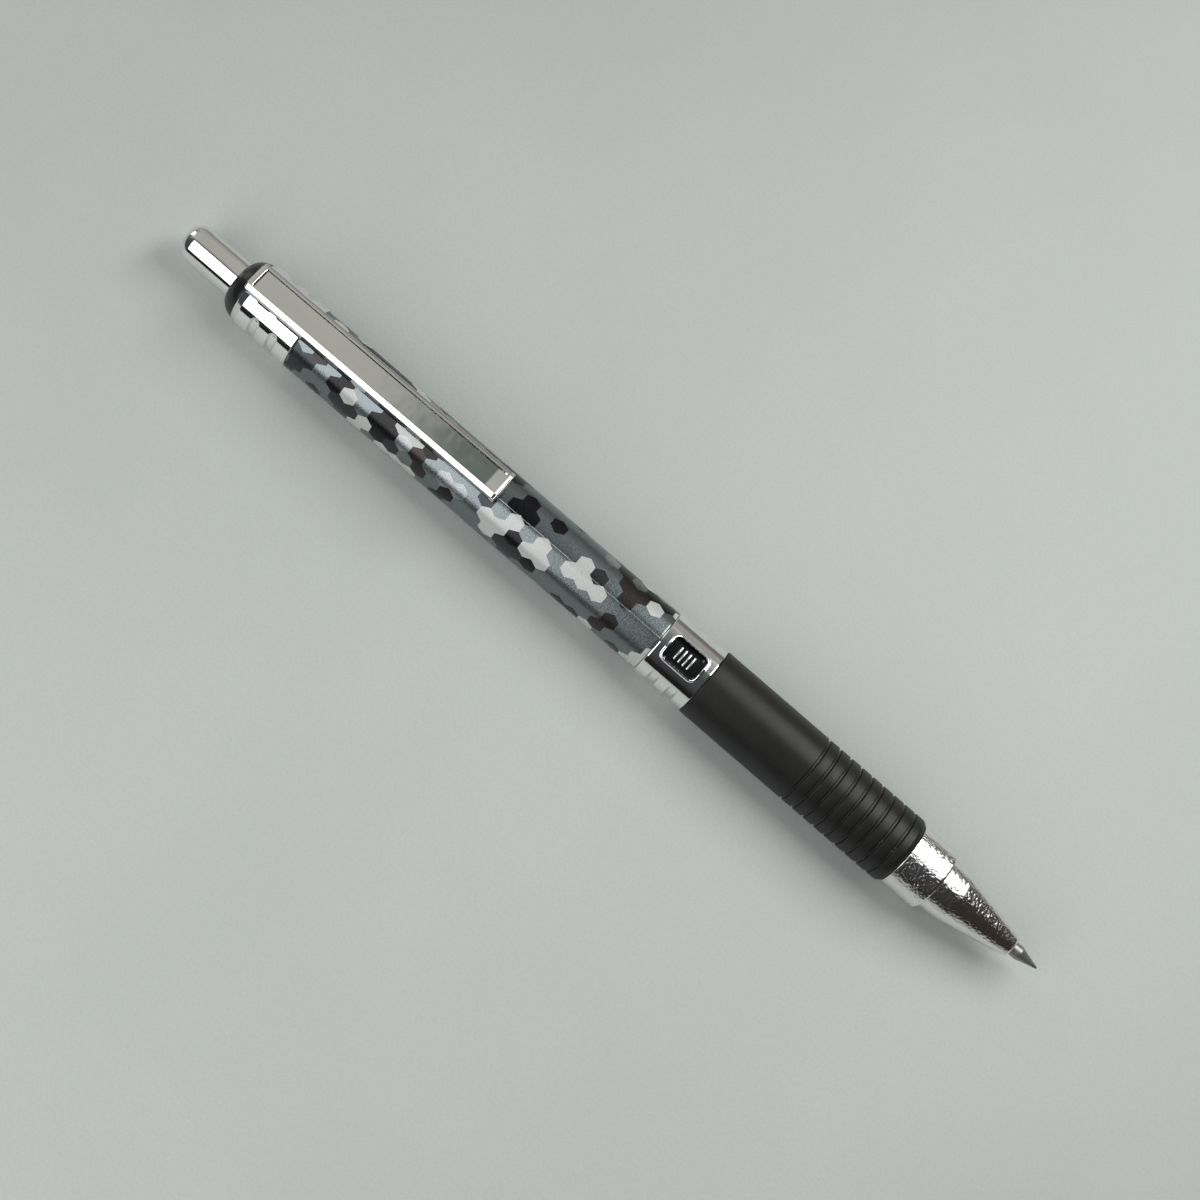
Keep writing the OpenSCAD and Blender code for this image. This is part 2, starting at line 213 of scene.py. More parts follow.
def chrome():
    """Bright plating with faint smears and the slight waviness of a polished pressing."""
    finish = Finish("chrome", Metallic=1.0)
    smears = finish.noise(0.5, 3.0, stretch=(0.3, 1.0, 1.0))
    shade = finish.ramp(smears, [(0.3, (0.82, 0.825, 0.825, 1)), (0.7, (0.90, 0.905, 0.90, 1))])
    finish.set("Base Color", shade[0])
    finish.set("Roughness", finish.range(smears, 0.3, 0.7, 0.05, 0.09))
    finish.set("Normal", finish.bump(finish.noise(0.55, 1.0), 0.008))
    return finish.material


def plated_nose():
    """Plating over a cast surface: bright, with a fine grain that breaks up every highlight."""
    finish = Finish("plated_nose", Metallic=1.0)
    grain = finish.noise(2.4, 4.0)
    shade = finish.ramp(grain, [(0.35, (0.82, 0.81, 0.795, 1)), (0.65, (0.90, 0.895, 0.88, 1))])
    finish.set("Base Color", shade[0])
    finish.set("Roughness", finish.range(grain, 0.3, 0.7, 0.07, 0.13))
    finish.set("Normal", finish.bump(grain, 0.10))
    return finish.material


def steel(name, color, roughness):
    """Drawn metal with fine lines along the holder."""
    finish = Finish(name, Metallic=1.0)
    drawn = finish.noise(6.0, 2.0, stretch=(0.08, 1.0, 1.0))
    dark = tuple(c * 0.75 for c in color) + (1,)
    shade = finish.ramp(drawn, [(0.3, dark), (0.7, color + (1,))])
    finish.set("Base Color", shade[0])
    finish.set("Roughness", finish.range(drawn, 0.3, 0.7, roughness - 0.06, roughness + 0.06))
    finish.set("Normal", finish.bump(drawn, 0.004))
    return finish.material


def turned_metal(name, color, roughness):
    """Turned metal with fine rings round the holder."""
    finish = Finish(name, Metallic=1.0)
    rings = finish.noise(9.0, 2.0, stretch=(1.0, 0.05, 0.05))
    dark = tuple(c * 0.8 for c in color) + (1,)
    shade = finish.ramp(rings, [(0.3, dark), (0.7, color + (1,))])
    finish.set("Base Color", shade[0])
    finish.set("Roughness", finish.range(rings, 0.3, 0.7, roughness - 0.05, roughness + 0.08))
    finish.set("Normal", finish.bump(rings, 0.004))
    return finish.material


def plastic(name, color, roughness, grain=0.003):
    """Moulded plastic with a faint skin texture and a little variation in its gloss."""
    finish = Finish(name)
    clouds = finish.noise(0.7, 3.0)
    dark = tuple(c * 0.8 for c in color) + (1,)
    shade = finish.ramp(clouds, [(0.3, dark), (0.7, color + (1,))])
    finish.set("Base Color", shade[0])
    finish.set("Roughness", finish.range(clouds, 0.3, 0.7, roughness - 0.05, roughness + 0.05))
    finish.set("Normal", finish.bump(finish.noise(9.0, 2.0), grain))
    return finish.material


def rubber(name, color, dusty=None):
    """Matt rubber. dusty is (outer radius, station): its grooves hold pale dust, most near there."""
    finish = Finish(name, Specular_IOR_Level=0.35)
    grain = finish.noise(7.0, 3.0)
    clouds = finish.noise(0.35, 2.0)
    dark = tuple(c * 0.75 for c in color) + (1,)
    shade = finish.ramp(clouds, [(0.3, dark), (0.7, color + (1,))])[0]
    finish.set("Roughness", finish.range(grain, 0.3, 0.7, 0.36, 0.50))
    if dusty:
        radius, station = dusty
        x, y, z = finish.split(finish.mm)
        above = finish.math("SUBTRACT", z, AXIS / MM)
        squares = finish.math("ADD", finish.math("POWER", y, 2.0), finish.math("POWER", above, 2.0))
        out = finish.math("SQRT", squares)
        deep = finish.range(out, radius - 0.25, radius - 0.02, 1.0, 0.12)
        near = finish.range(x, TAIL / MM + station - 6, TAIL / MM + station, 0.25, 1.0)
        specks = finish.range(finish.noise(5.5, 1.0), 0.69, 0.73, 0.0, 1.0)
        dust = finish.math("MULTIPLY", specks, finish.math("MULTIPLY", deep, near))
        shade = finish.mix(dust, shade, (0.42, 0.42, 0.40, 1))
    finish.set("Base Color", shade)
    finish.set("Normal", finish.bump(grain, 0.012))
    return finish.material


def graphite():
    """Sharpened lead: dark, with a metallic sheen and scratches along it."""
    finish = Finish("graphite", Metallic=0.75)
    streaks = finish.noise(7.0, 3.0, stretch=(0.15, 1.0, 1.0))
    shade = finish.ramp(streaks, [(0.3, (0.20, 0.20, 0.19, 1)), (0.7, (0.42, 0.42, 0.40, 1))])
    finish.set("Base Color", shade[0])
    finish.set("Roughness", finish.range(streaks, 0.3, 0.7, 0.26, 0.42))
    finish.set("Normal", finish.bump(streaks, 0.012))
    return finish.material


# Print on the barrel: hexagons that point round it, in rows that close after a full turn
HEX_LENGTH = 2.35
HEX_ROWS = 16
HEX_SHARE = [
    # place in the draw, colour, and how metallic it is
    (0.00, (0.175, 0.198, 0.208), 0.80),
    (0.50, (0.004, 0.004, 0.006), 0.10),
    (0.69, (0.610, 0.625, 0.605), 0.15),
    (0.80, (0.040, 0.035, 0.032), 0.60),
    (0.87, (0.042, 0.047, 0.050), 0.60),
    (0.95, (0.300, 0.320, 0.325), 0.75),
]
# Which random draw gives the colours, and which one joins cells
PRINT_DRAW = 15.0
JOIN_DRAW = 3.0
# A cell keeps its own colour up to the first share, and joins one in its row up to the second
OWN_SHARE = 0.42
ROW_SHARE = 0.72
SEAM_ANGLE = math.radians(-10)
SEAM_FROM = 52.5
DUST_FROM = 124.0


def printed_film(radius):
    """Metallic film printed with hexagons, some of which share their neighbour's colour."""
    finish = Finish("printed_film", Specular_IOR_Level=0.25, Coat_Weight=0.08, Coat_Roughness=0.15)
    x, y, z = finish.split(finish.mm)
    station = finish.math("SUBTRACT", x, TAIL / MM)
    angle = finish.math("ARCTAN2", y, finish.math("SUBTRACT", z, AXIS / MM))
    along = finish.math("DIVIDE", station, HEX_LENGTH)
    row = finish.math("MULTIPLY", angle, HEX_ROWS / math.tau)
    half_row = finish.math("MULTIPLY", row, 0.5)

    def distance(to_along, to_row):
        """Square of the distance to a cell's centre, in hexagon lengths."""
        da = finish.math("SUBTRACT", along, to_along)
        dr = finish.math("MULTIPLY", finish.math("SUBTRACT", row, to_row), math.sqrt(3) / 2)
        return finish.math("ADD", finish.math("MULTIPLY", da, da), finish.math("MULTIPLY", dr, dr))

    # even rows have their centres on whole columns, odd rows half a column on
    even = (finish.math("ROUND", along), finish.math("MULTIPLY", finish.math("ROUND", half_row), 2.0))
    odd = (
        finish.math("ADD", finish.math("FLOOR", along), 0.5),
        finish.math("MULTIPLY_ADD", finish.math("FLOOR", half_row), 2.0, 1.0),
    )
    nearer = finish.math("LESS_THAN", distance(*even), distance(*odd))
    column, line = (
        finish.math("MULTIPLY_ADD", nearer, finish.math("SUBTRACT", a, b), b)
        for a, b in zip(even, odd)
    )

    def draw(column, line, seed):
        """The cell's random number, the same after a full turn round the barrel."""
        wrapped = finish.math("FLOORED_MODULO", line, float(HEX_ROWS))
        return finish.random(finish.join(column, wrapped, seed))

    # a cell keeps its own colour, or takes that of the next cell in its row or in the next row
    choice = draw(column, line, JOIN_DRAW)
    joined = finish.math("GREATER_THAN", choice, OWN_SHARE)
    beside = finish.math("MULTIPLY", joined, finish.math("LESS_THAN", choice, ROW_SHARE))
    across = finish.math("GREATER_THAN", choice, ROW_SHARE)
    column = finish.math("ADD", column, finish.math("MULTIPLY_ADD", across, 0.5, beside))
    line = finish.math("ADD", line, across)
    stops = [(place_at, color + (metal,)) for place_at, color, metal in HEX_SHARE]
    shade, metal = finish.ramp(draw(column, line, PRINT_DRAW), stops, steps=True)

    # the edge of the film shows as a thin pale line with a slight waver
    waver = finish.range(finish.noise(1.6, 3.0, at=finish.join(station, 0.0, 0.0)), 0.3, 0.7, -0.035, 0.035)
    aside = finish.math("MULTIPLY", finish.math("SUBTRACT", angle, SEAM_ANGLE), radius)
    aside = finish.math("ABSOLUTE", finish.math("ADD", aside, waver))
    seam = finish.range(aside, 0.02, 0.07, 0.6, 0.0)
    seam = finish.math("MULTIPLY", seam, finish.math("GREATER_THAN", station, SEAM_FROM))
    seam = finish.math("MULTIPLY", seam, finish.range(finish.noise(2.4, 2.0), 0.4, 0.6, 0.45, 1.0))
    finish.set("Base Color", finish.mix(seam, shade, (0.66, 0.68, 0.66, 1)))

    flakes = finish.noise(4.0, 3.0)
    finish.set("Metallic", metal)
    finish.set("Roughness", finish.range(flakes, 0.3, 0.7, 0.19, 0.31))
    finish.set("Normal", finish.bump(flakes, 0.010))
    return finish.material


def silver_ink():
    """Raised silver marking with a fine metallic grain."""
    finish = Finish("silver_ink", Metallic=0.9)
    grain = finish.noise(14.0, 2.0)
    shade = finish.ramp(grain, [(0.3, (0.62, 0.63, 0.64, 1)), (0.7, (0.88, 0.88, 0.88, 1))])
    finish.set("Base Color", shade[0])
    finish.set("Roughness", finish.range(grain, 0.3, 0.7, 0.22, 0.32))
    finish.set("Normal", finish.bump(grain, 0.003))
    return finish.material


FINISHES = {
    "chrome": chrome(),
    "plated_nose": plated_nose(),
    "steel": steel("steel", (0.62, 0.63, 0.64), 0.28),
    "spring_steel": steel("spring_steel", (0.58, 0.59, 0.60), 0.24),
    "brass": turned_metal("brass", (0.80, 0.60, 0.27), 0.24),
    "black_plastic": plastic("black_plastic", (0.014, 0.0145, 0.016), 0.27),
    "black_gloss": plastic("black_gloss", (0.009, 0.009, 0.010), 0.09, grain=0.001),
    "barrel_plastic": plastic("barrel_plastic", (0.13, 0.14, 0.15), 0.4),
    "printed_film": printed_film(span("barrel_film")[2]),
    "grip_rubber": rubber("grip_rubber", (0.012, 0.012, 0.011), dusty=(span("grip_sleeve")[2], DUST_FROM)),
    "brake_rubber": rubber("brake_rubber", (0.045, 0.045, 0.045)),
    "eraser": rubber("eraser", (0.82, 0.81, 0.77)),
    "graphite": graphite(),
}


# ---------------------------------------------------------------- mesh helpers

SIDES = 192


def finish_of(node):
    """The material of a CAD node's slot."""
    return FINISHES[SLOT_OF[node]]


def piece(name, points, faces, node, material=None):
    """A closed mesh piece from points in millimetres, on a CAD node's body, with the material of the node's
    slot unless another is given.
    """
    mesh = bpy.data.meshes.new(name)
    mesh.from_pydata([place(*p) for p in points], [], faces)
    work = bmesh.new()
    work.from_mesh(mesh)
    bmesh.ops.recalc_face_normals(work, faces=work.faces)
    work.to_mesh(mesh)
    work.free()
    mesh.shade_smooth()
    mesh.set_sharp_from_angle(angle=math.radians(34))
    mesh.materials.append(material or finish_of(node))
    made = bpy.data.objects.new(name, mesh)
    bpy.context.scene.collection.objects.link(made)
    even = made.modifiers.new("even_shading", "WEIGHTED_NORMAL")
    even.keep_sharp = True
    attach(made, BODY_OF[node])
    return made


def finished(node, points, faces):
    """A finer piece that is shown in place of a CAD node."""
    made = piece(node + "_finish", points, faces, node)
    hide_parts(node)
    return made


def rounded(outline, steps=4):
    """Outline of (station, radius) points, in which a third number rounds that corner."""
    made = []
    count = len(outline)
    for i, corner in enumerate(outline):
        here = Vector(corner[:2])
        if len(corner) < 3:
            made.append(tuple(here))
            continue
        before = Vector(outline[i - 1][:2]) - here
        after = Vector(outline[(i + 1) % count][:2]) - here
        reach = corner[2] / math.tan(before.angle(after) / 2)
        start = here + before.normalized() * min(reach, before.length * 0.48)
        end = here + after.normalized() * min(reach, after.length * 0.48)
        for k in range(steps + 1):
            t = k / steps
            made.append(tuple(start * (1 - t) ** 2 + here * 2 * t * (1 - t) + end * t ** 2))
    return made


def arc(centre, radius, start, end, steps=10):
    """Points (station, radius) of an arc, by angles in degrees from straight out to the front."""
    angles = [math.radians(start + (end - start) * k / steps) for k in range(steps + 1)]
    return [(centre[0] + radius * math.sin(a), centre[1] + radius * math.cos(a)) for a in angles]


def lathe(node, outline, sides=SIDES):
    """Turns a closed outline of (station, radius) points round the axis, in place of a node."""
    points, faces, rings = [], [], []
    for station, radius in outline:
        if radius < 1e-6:
            rings.append([len(points)])
            points.append((station, 0, 0))
            continue
        rings.append([len(points) + k for k in range(sides)])
        for k in range(sides):
            a = math.tau * k / sides
            points.append((station, radius * math.sin(a), radius * math.cos(a)))
    for i, ring in enumerate(rings):
        following = rings[(i + 1) % len(rings)]
        if len(ring) == 1 and len(following) == 1:
            continue
        for k in range(sides):
            n = (k + 1) % sides
            if len(ring) == 1:
                faces.append((ring[0], following[k], following[n]))
            elif len(following) == 1:
                faces.append((ring[k], following[0], ring[n]))
            else:
                faces.append((ring[k], following[k], following[n], ring[n]))
    finished(node, points, faces)


def polar(station, angle, radius):
    """A point from its angle round the axis, counted from straight up towards +Y."""
    return (station, radius * math.sin(angle), radius * math.cos(angle))


class Shell:
    """A tube's wall over lines at stations and at angles, with cells left out for a hole."""

    def __init__(self, stations, angles, outer, inner, hole=lambda i, j: False):
        self.points, self.faces = [], []
        self.rows, self.count = len(stations), len(angles)
        for radius in (outer, inner):
            for x in stations:
                self.points += [polar(x, a, radius(x, a)) for a in angles]
        for i in range(self.rows - 1):
            for j in range(self.count):
                if hole(i, j):
                    continue
                corners = [(i, j), (i + 1, j), (i + 1, j + 1), (i, j + 1)]
                self.faces.append([self.at(*c) for c in corners])
                self.faces.append([self.at(*c, inside=True) for c in reversed(corners)])

    def at(self, i, j, inside=False):
        """Index of the point on station line i and angle line j."""
        return (self.rows if inside else 0) * self.count + i * self.count + j % self.count

    def wall(self, a, b):
        """Joins the outer and inner surface along the line from grid point a to b."""
        self.faces.append([self.at(*b), self.at(*a), self.at(*a, inside=True), self.at(*b, inside=True)])

    def close_ends(self):
        for j in range(self.count):
            self.wall((0, j + 1), (0, j))
            self.wall((self.rows - 1, j), (self.rows - 1, j + 1))

    def loop(self, first, last):
        """Grid points round the rectangle from first to last, in order."""
        (i0, j0), (i1, j1) = first, last
        return (
            [(i, j0) for i in range(i0, i1)]
            + [(i1, j) for j in range(j0, j1)]
            + [(i, j1) for i in range(i1, i0, -1)]
            + [(i0, j) for j in range(j1, j0, -1)]
        )


def lines(*groups):
    """Sorted line positions from several groups, leaving out those that almost coincide."""
    made = []
    for value in sorted(v for group in groups for v in group):
        if not made or value - made[-1] > 0.004:
            made.append(value)
    return made


def spread(start, end, step):
    """Even positions from start to end, no further apart than step."""
    count = max(1, math.ceil((end - start) / step))
    return [start + (end - start) * k / count for k in range(count + 1)]


def nearest(values, target):
    """Index of the value that is nearest to target."""
    return min(range(len(values)), key=lambda k: abs(values[k] - target))


def ease(value, low, high):
    """0 below low, 1 above high, and a smooth step between them."""
    t = min(1.0, max(0.0, (value - low) / (high - low)))
    return t * t * (3 - 2 * t)


# ---------------------------------------------------------------- slots of the two bands

SLOT_WIDTH = 1.15
SLOT_PITCH = 3.05
SLOT_DEPTH = 0.38
SLOT_ANGLE = math.radians(57)
SLOT_EDGE = 0.16


def slot_depth(station, angle, middle, radius):
    """How far the side slots are cut below the pads, at a place on a band."""
    reach = radius * math.cos(SLOT_ANGLE)
    height = max(0.0, abs(radius * math.cos(angle)) - reach)
    centres = [middle + end * SLOT_PITCH / 2 for end in (-1, 1)]
    away = min(math.hypot(station - centre, height) for centre in centres)
    return SLOT_DEPTH * (1 - ease(away - SLOT_WIDTH / 2, -SLOT_EDGE, SLOT_EDGE))


def slot_lines(middle):
    """Stations that resolve the two slots: close at their walls, wider over their floors."""
    half = SLOT_WIDTH / 2
    wall = [k * SLOT_EDGE / 4 for k in range(-5, 6)]
    made = []
    for end in (-1, 1):
        at = middle + end * SLOT_PITCH / 2
        made += [at + side * (half + w) for side in (-1, 1) for w in wall]
        made += spread(at - half + SLOT_EDGE, at + half - SLOT_EDGE, 0.16)
    return made


# ---------------------------------------------------------------- turned pieces


def push_button():
    """Cap with a domed end and a tapered skirt, bored for the lead tube and for the eraser."""
    first, last, radius = span("push_button")
    dome = 1.9
    skirt = radius - 0.1
    taper_from = span("end_plug")[0] - 0.4
    bore, bore_end = 2.35, first + 4.48
    pocket, pocket_end = 1.75, first + 1.0
    lathe(
        "push_button",
        rounded(
            [(first, 0.0)]
            + arc((first + dome, radius - dome), dome, -90, 0, 16)
            + [(taper_from, radius), (last, skirt, 0.1), (last, bore, 0.1)]
            + [(bore_end, bore), (bore_end, pocket), (pocket_end, pocket), (pocket_end, 0.0)]
        ),
    )


def end_plug():
    """Round-shouldered ring with a spigot in the upper band and a narrower one in the barrel."""
    first, last, radius = span("end_plug")
    hole = span("push_button")[2] + 0.07
    hole_edge = 0.25
    round_r, set_in = 2.7, 0.2
    seat = span("upper_band")[0]
    spigot_r, spigot_end = 4.0, seat + 1.15
    inner_spigot_r = 3.28
    centre = (seat + set_in, radius - round_r)
    from_hole = math.degrees(math.acos((hole - centre[1]) / round_r))
    to_face = math.degrees(math.asin(set_in / round_r))
    lathe(
        "end_plug",
        rounded(
            [(first + hole_edge, hole, 0.08)]
            + arc(centre, round_r, -from_hole, -to_face, 18)[1:]
            + [(seat, spigot_r), (spigot_end, spigot_r), (spigot_end, inner_spigot_r)]
            + [(last, inner_spigot_r), (last, hole)]
        ),
    )


def barrel_film():
    """Thin printed sleeve with a fine groove where its edges meet."""
    first, last, radius = span("barrel_film")
    bore = radius - 0.09
    groove_half, groove_depth = 0.04, 0.012
    angles = lines(
        [math.tau * k / 256 - math.pi for k in range(256)],
        [SEAM_ANGLE + s * groove_half / radius for s in (-2.2, -1, -0.4, 0.4, 1, 2.2)],
    )

    def outer(station, angle):
        aside = abs(angle - SEAM_ANGLE) * radius
        groove = groove_depth * (1 - ease(aside, 0.4 * groove_half, groove_half))
        edge = 0.03 * (1 - ease(min(station - first, last - station), 0.0, 0.06))
        return radius - groove - edge

    ends = [0.0, 0.02, 0.04, 0.06, 0.3]
    stations = lines([first + e for e in ends], spread(first + 2, last - 2, 2.0), [last - e for e in ends])
    wall = Shell(stations, angles, outer, lambda station, angle: bore)
    wall.close_ends()
    finished("barrel_film", wall.points, wall.faces)


GROOVES = 9
GROOVE_PITCH = 1.845
FIRST_GROOVE = 17.65


def grip_sleeve():
    """Rubber sleeve with square grooves and a rounded front end."""
    first, last, radius = span("grip_sleeve")
    bore = 4.2
    nose_r, nose_turn = 0.9, 70
    wide, narrow, floor = 0.25, 0.17, radius - 0.3
    ribs = []
    for k in range(GROOVES):
        x = first + FIRST_GROOVE + k * GROOVE_PITCH
        ribs += [(x - wide, radius, 0.08), (x - narrow, floor, 0.05)]
        ribs += [(x + narrow, floor, 0.05), (x + wide, radius, 0.08)]
    nose_at = (last - nose_r * math.sin(math.radians(nose_turn)), radius - nose_r)
    nose = arc(nose_at, nose_r, 0, nose_turn, 10)
    back = [(first, bore), (first, radius, 0.18)]
    front = [(last, nose[-1][1] - 0.1), (last, bore)]
    lathe("grip_sleeve", rounded(back + ribs + nose + front))


def nose_sleeve():
    """Plated collar whose wider mouth takes the back of the nose cone."""
    first, last, radius = span("nose_sleeve")
    bore = 3.65
    shoulder = last - 2.95
    mouth = span("nose_cone")[2] + 0.05
    lathe(
        "nose_sleeve",
        rounded(
            [(first, bore), (first, radius, 0.12), (last, radius, 0.45)]
            + [(last, mouth, 0.08), (shoulder, mouth), (shoulder, bore)],
            steps=7,
        ),
    )


def nose_cone():
    """Plated cone with a stepped bore: the chuck's room, the brake's seat and the lead's hole."""
    first, last, radius = span("nose_cone")
    sleeve_front = span("nose_sleeve")[1]
    straight = sleeve_front + 3.3
    brake_back, brake_front, brake_r = last - 4.6, last - 2.4, 1.52
    chuck_back, chuck_front, chuck_r = sleeve_front + 1.05, sleeve_front + 5.95, 2.5
    back_bore = 3.2
    lead_hole = 1.12
    mouth = 1.575
    lathe(
        "nose_cone",
        rounded(
            [(first, back_bore), (first, radius, 0.15), (sleeve_front + 0.3, radius, 0.1)]
            + [(straight, radius - 0.18, 1.6), (last - 0.3, mouth + 0.05, 0.25), (last, mouth - 0.25, 0.12)]
            + [(last, lead_hole, 0.06), (brake_front, lead_hole)]
            + [(brake_front, brake_r), (brake_back, brake_r)]
            + [(chuck_front, chuck_r, 0.3), (chuck_back, chuck_r), (chuck_back, back_bore)],
            steps=7,
        ),
    )


def lead():
    """Stick of lead with a sharpened, slightly hollow point."""
    first, last, radius = span("lead")
    taper = 3.05
    point = 0.13
    lathe(
        "lead",
        rounded(
            [(first, 0.0), (first, radius, 0.05), (last - taper, radius, 0.08)]
            + [(last - taper * 0.56, radius * 0.6, 1.5), (last, point, 0.05), (last, 0.0)]
        ),
        sides=96,
    )


def grade_drum():
    """Plain drum under the turning band."""
    first, last, radius = span("grade_drum")
    bore, edge = 3.77, 0.08
    outline = [(first, bore), (first, radius, edge), (last, radius, edge), (last, bore)]
    lathe("grade_drum", rounded(outline))


def grade_marks():
    """Raised tally bars on the drum, one to six of them at sixth turns, instead of letters."""
    first, last, radius = span("grade_drum")
    middle = sum(span("grade_band")[:2]) / 2
    pitch, width, length, height = 0.72, 0.26, 1.9, 0.05
    # one bar's section: across in widths and out in heights, set into the drum
    section = [(-0.5, -0.4), (-0.5, 0.6), (-0.38, 1.0), (0.38, 1.0), (0.5, 0.6), (0.5, -0.4)]
    steps = 14
    points, faces = [], []
    for group in range(6):
        bars = (group + 3) % 6 + 1
        turn = WINDOW_ANGLE + math.tau * group / 6
        for bar in range(bars):
            x = middle + (bar - (bars - 1) / 2) * pitch
            start = len(points)
            for k in range(steps + 1):
                a = turn + (k / steps - 0.5) * length / radius
                points += [polar(x + sx * width, a, radius + sr * height) for sx, sr in section]
            count = len(section)
            for k in range(steps):
                for s in range(count):
                    a, b = start + k * count + s, start + k * count + (s + 1) % count
                    faces.append((a, b, b + count, a + count))
            faces.append(tuple(range(start, start + count)))
            faces.append(tuple(range(start + steps * count, start + (steps + 1) * count)))
    piece("grade_marks", points, faces, "grade_drum", silver_ink())


# ---------------------------------------------------------------- the two bands

BAND_SIDES = 360


def upper_band():
    """Band with side slots, a tapered back edge and a hole on top for the clip's foot."""
    first, last, radius = span("upper_band")
    seat = 4.02
    lead_in = 1.0
    start_r = span("end_plug")[2]
    middle = (first + last) / 2 + 0.4
    hole_x = (first + 1.5, first + 5.1)
    hole_angle = math.asin(1.7 / radius)

    def outer(station, angle):
        base = min(radius, start_r + (radius - start_r) * (station - first) / lead_in)
        edge = 0.06 * (1 - ease(min(station - first, last - station), 0.0, 0.08))
        return base - edge - slot_depth(station, angle, middle, radius)

    ends = [0.0, 0.02, 0.04, 0.06, 0.08, 0.25]
    stations = lines(
        [first + e for e in ends],
        [last - e for e in ends],
        [first + lead_in - 0.06, first + lead_in, first + lead_in + 0.06],
        slot_lines(middle),
        hole_x,
        spread(first + 0.4, last - 0.4, 0.5),
    )
    even = [math.tau * k / BAND_SIDES - math.pi for k in range(BAND_SIDES)]
    angles = lines(even, [-hole_angle, hole_angle])

    def in_hole(i, j):
        x = (stations[i] + stations[i + 1]) / 2
        return hole_x[0] < x < hole_x[1] and -hole_angle < angles[j] + 0.001 < hole_angle

    wall = Shell(stations, angles, outer, lambda station, angle: seat, in_hole)
    wall.close_ends()
    i0, i1 = (nearest(stations, x) for x in hole_x)
    j0, j1 = (nearest(angles, a) for a in (-hole_angle, hole_angle))
    edge = wall.loop((i0, j0), (i1, j1))
    for a, b in zip(edge, edge[1:] + edge[:1]):
        wall.wall(a, b)
    finished("upper_band", wall.points, wall.faces)


WINDOW_ANGLE = math.radians(-9)
WINDOW_LENGTH = 5.9
WINDOW_WIDTH = 4.25
WINDOW_CORNER = 1.0
# Half the size of the patch of the band's grid that the window's loops replace
PATCH_X = 3.55
PATCH_ANGLE = math.radians(34)
# The frame round the window: how far inside its outline, and at what radius
WINDOW_FRAME = [
    (0.07, 5.0), (0.02, 5.015), (-0.01, 5.06), (-0.03, 5.12), (-0.06, 5.17), (-0.11, 5.195),
    (-0.17, 5.2), (-0.24, 5.195), (-0.29, 5.17), (-0.32, 5.12), (-0.34, 5.05), (-0.35, 4.95),
    (-0.35, 4.6), (-0.35, 4.45),
]


def grade_band():
    """The turning band, with its framed window joined to the grid of its wall by even loops."""
    first, last, _ = span("grade_band")
    radius, bore, flange_bore, flange = 5.0, 4.42, 3.8, 0.9
    middle = (first + last) / 2

    def outer(station, angle):
        edge = 0.07 * (1 - ease(min(station - first, last - station), 0.0, 0.09))
        return radius - edge - slot_depth(station, angle, middle, radius)

    def inner(station, angle):
        return flange_bore if station < first + flange + 0.005 else bore

    ends = [0.0, 0.02, 0.04, 0.065, 0.09, 0.22]
    stations = lines(
        [first + e for e in ends],
        [last - e for e in ends],
        [first + flange, first + flange + 0.02],
        slot_lines(middle),
        [middle - PATCH_X, middle + PATCH_X],
        spread(middle - PATCH_X, middle + PATCH_X, 0.22),
    )
    angles = [math.tau * (k + 0.5) / BAND_SIDES - math.pi for k in range(BAND_SIDES)]
    i0, i1 = (nearest(stations, middle + x) for x in (-PATCH_X, PATCH_X))
    j0, j1 = (nearest(angles, a) for a in (-PATCH_ANGLE, PATCH_ANGLE))
    wall = Shell(stations, angles, outer, inner, lambda i, j: i0 <= i < i1 and j0 <= j < j1)
    wall.close_ends()
    points, faces = wall.points, wall.faces

    edge = wall.loop((i0, j0), (i1, j1))
    core = (WINDOW_LENGTH / 2 - WINDOW_CORNER, WINDOW_WIDTH / 2 - WINDOW_CORNER)

    def outline(i, j, offset):
        """Plan place on the window's outline nearest to a grid point, moved out by offset."""
        out = Vector((stations[i] - middle, radius * math.sin(angles[j])))
        base = Vector((max(-core[0], min(core[0], out.x)), max(-core[1], min(core[1], out.y))))
        return base + (out - base).normalized() * (WINDOW_CORNER + offset)

    def on_cylinder(plan, r):
        return (middle + plan.x, plan.y, math.sqrt(r * r - plan.y * plan.y))

    loops = [[wall.at(i, j) for i, j in edge]]

    def add_loop(places):
        start = len(points)
        points.extend(places)
        loops.append(list(range(start, start + len(edge))))

    def blend_loops(r, offset, shares):
        for share in shares:
            places = []
            for i, j in edge:
                grid = Vector((stations[i] - middle, r * math.sin(angles[j])))
                places.append(on_cylinder(grid.lerp(outline(i, j, offset), share), r))
            add_loop(places)

    blend_loops(radius, WINDOW_FRAME[0][0], (0.25, 0.5, 0.75, 0.92))
    for offset, r in WINDOW_FRAME:
        add_loop([on_cylinder(outline(i, j, offset), r) for i, j in edge])
    blend_loops(bore, WINDOW_FRAME[-1][0] + 0.03, (1.0, 0.75, 0.5, 0.25))
    loops.append([wall.at(i, j, inside=True) for i, j in edge])
    for one, two in zip(loops, loops[1:]):
        for k in range(len(edge)):
            n = (k + 1) % len(edge)
            faces.append((one[k], one[n], two[n], two[k]))

    turn = Matrix.Rotation(-WINDOW_ANGLE, 3, "X")
    points = [tuple(turn @ Vector(p)) for p in points]
    finished("grade_band", points, faces)


# ---------------------------------------------------------------- pocket clip

# How far the clip leans up towards its tip, and its section
CLIP_RISE = math.radians(0.95)
CLIP_HEIGHT = 2.0
CLIP_ROOF = 0.8
CLIP_HOLLOW = 1.69
CLIP_RIM = 0.7
CLIP_RECESS = 0.22
LIP_LENGTH = 0.45
LIP_HEIGHT = 0.25


